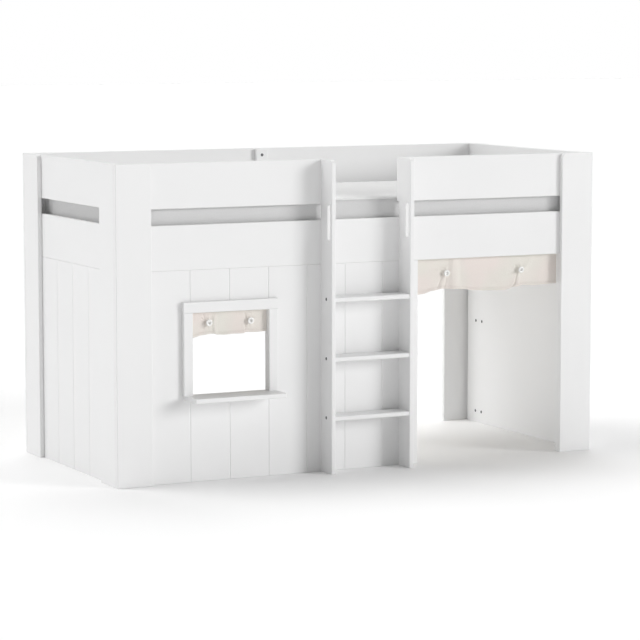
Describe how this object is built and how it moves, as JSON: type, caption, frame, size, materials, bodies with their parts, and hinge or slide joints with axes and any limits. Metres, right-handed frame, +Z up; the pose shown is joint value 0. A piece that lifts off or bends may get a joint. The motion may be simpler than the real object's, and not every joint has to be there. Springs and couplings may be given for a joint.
{
  "type": "high sleeper bed",
  "caption": "White raised bed for a child: L-shaped corner posts, guard boards, upright ladder with hand slots, grooved front with a window, doorway with valances, slatted base and mattress.",
  "frame": {"origin": "on the floor, in the middle of the whole object's footprint, ladder and window sill included", "axes": "+X along the bed from its left end to its right end, +Y from the front with the ladder to the back, +Z up"},
  "size_m": [2.09, 1.077, 1.22],
  "materials": {
    "white_paint": "satin white paint on wood boards",
    "bare_pine": "planed bare pine",
    "mattress_cover": "white knitted cover",
    "valance_cloth": "light natural woven cotton",
    "hook_tape": "woven hook tape",
    "knob_white": "white turned knob",
    "fastener_steel": "zinc-plated steel"
  },
  "bodies": {
    "root": {"back_batten": "white_paint", "batten_bolts": "fastener_steel", "door_valance": "valance_cloth", "door_valance_knobs": "knob_white", "door_valance_tape": "hook_tape", "doorway_strip": "white_paint", "end_board_bolts": "fastener_steel", "guard_back": "white_paint", "guard_end_left": "white_paint", "guard_end_right": "white_paint", "guard_front_left": "white_paint", "guard_front_right": "white_paint", "ladder_screws": "fastener_steel", "ladder_stile_left": "white_paint", "ladder_stile_right": "white_paint", "ladder_tread_lower": "white_paint", "ladder_tread_middle": "white_paint", "ladder_tread_upper": "white_paint", "long_board_bolts": "fastener_steel", "mattress": "mattress_cover", "panel_end_left": "white_paint", "panel_end_right": "white_paint", "panel_front": "white_paint", "post_back_left_face": "white_paint", "post_back_left_side": "white_paint", "post_back_right_face": "white_paint", "post_back_right_side": "white_paint", "post_front_left_face": "white_paint", "post_front_left_side": "white_paint", "post_front_right_face": "white_paint", "post_front_right_side": "white_paint", "rail_back": "white_paint", "rail_end_left": "white_paint", "rail_end_right": "white_paint", "rail_front": "white_paint", "slat_01": "bare_pine", "slat_02": "bare_pine", "slat_03": "bare_pine", "slat_04": "bare_pine", "slat_05": "bare_pine", "slat_06": "bare_pine", "slat_07": "bare_pine", "slat_08": "bare_pine", "slat_09": "bare_pine", "slat_10": "bare_pine", "slat_11": "bare_pine", "slat_12": "bare_pine", "slat_13": "bare_pine", "slat_rail_back": "bare_pine", "slat_rail_front": "bare_pine", "slat_screws": "fastener_steel", "tread_barrel_nuts": "fastener_steel", "tread_bolts": "fastener_steel", "window_head": "white_paint", "window_jamb_left": "white_paint", "window_jamb_right": "white_paint", "window_sill": "white_paint", "window_valance": "valance_cloth", "window_valance_knobs": "knob_white", "window_valance_tape": "hook_tape"}
  },
  "joints": []
}
